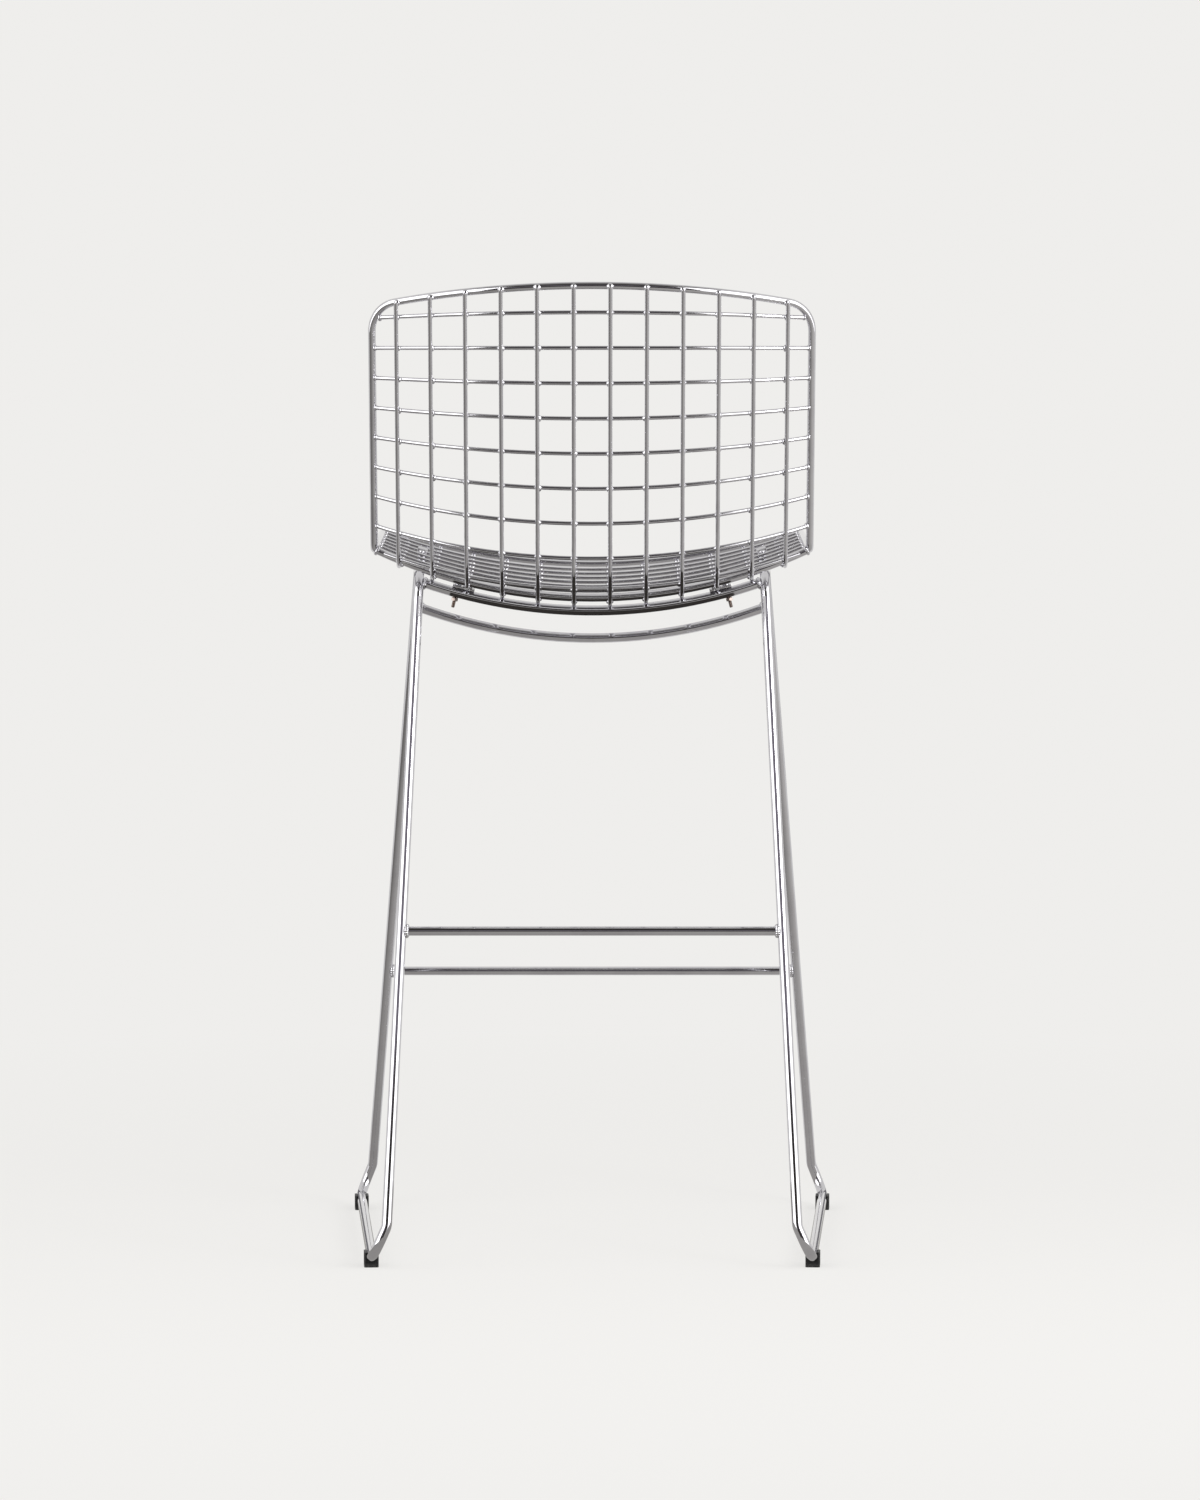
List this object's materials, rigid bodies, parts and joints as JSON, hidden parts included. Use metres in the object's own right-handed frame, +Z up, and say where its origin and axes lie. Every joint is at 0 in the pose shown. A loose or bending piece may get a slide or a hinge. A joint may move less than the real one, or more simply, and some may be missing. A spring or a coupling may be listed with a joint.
{
  "type": "bar stool",
  "caption": "Wire-grid bar stool: a dished seat and back of welded chromed wire on a splayed sled base of bent rod, with footrest bars and floor glides.",
  "frame": {"origin": "on the floor, under the middle of the stool's box", "axes": "+Z up; the sitter faces -Y, so +Y points to the back; +X is the sitter's left"},
  "size_m": [0.542, 0.513, 1.05],
  "materials": {
    "wire": "polished chrome plate",
    "rim": "polished chrome plate",
    "frame": "polished chrome plate",
    "fastener": "zinc-plated, slightly yellowed",
    "glide": "moulded, satin"
  },
  "bodies": {
    "root": {"back_wire_01": "wire", "back_wire_02": "wire", "back_wire_03": "wire", "back_wire_04": "wire", "back_wire_05": "wire", "back_wire_06": "wire", "back_wire_07": "wire", "back_wire_08": "wire", "clip_nuts": "fastener", "clip_screws": "fastener", "crease_wire": "wire", "front_crossbar": "frame", "front_footrest": "frame", "glide_front_left": "glide", "glide_front_right": "glide", "glide_rear_left": "glide", "glide_rear_right": "glide", "long_wire_01": "wire", "long_wire_02": "wire", "long_wire_03": "wire", "long_wire_04": "wire", "long_wire_05": "wire", "long_wire_06": "wire", "long_wire_07": "wire", "long_wire_08": "wire", "long_wire_09": "wire", "long_wire_10": "wire", "long_wire_11": "wire", "long_wire_12": "wire", "rear_crossbar": "frame", "rear_footrest": "frame", "seat_clip_front_left": "frame", "seat_clip_front_right": "frame", "seat_clip_rear_left": "frame", "seat_clip_rear_right": "frame", "seat_rear_rod": "rim", "seat_wire_01": "wire", "seat_wire_02": "wire", "seat_wire_03": "wire", "seat_wire_04": "wire", "seat_wire_05": "wire", "seat_wire_06": "wire", "seat_wire_07": "wire", "shell_rim": "rim", "side_frame_left": "frame", "side_frame_right": "frame"}
  },
  "joints": []
}
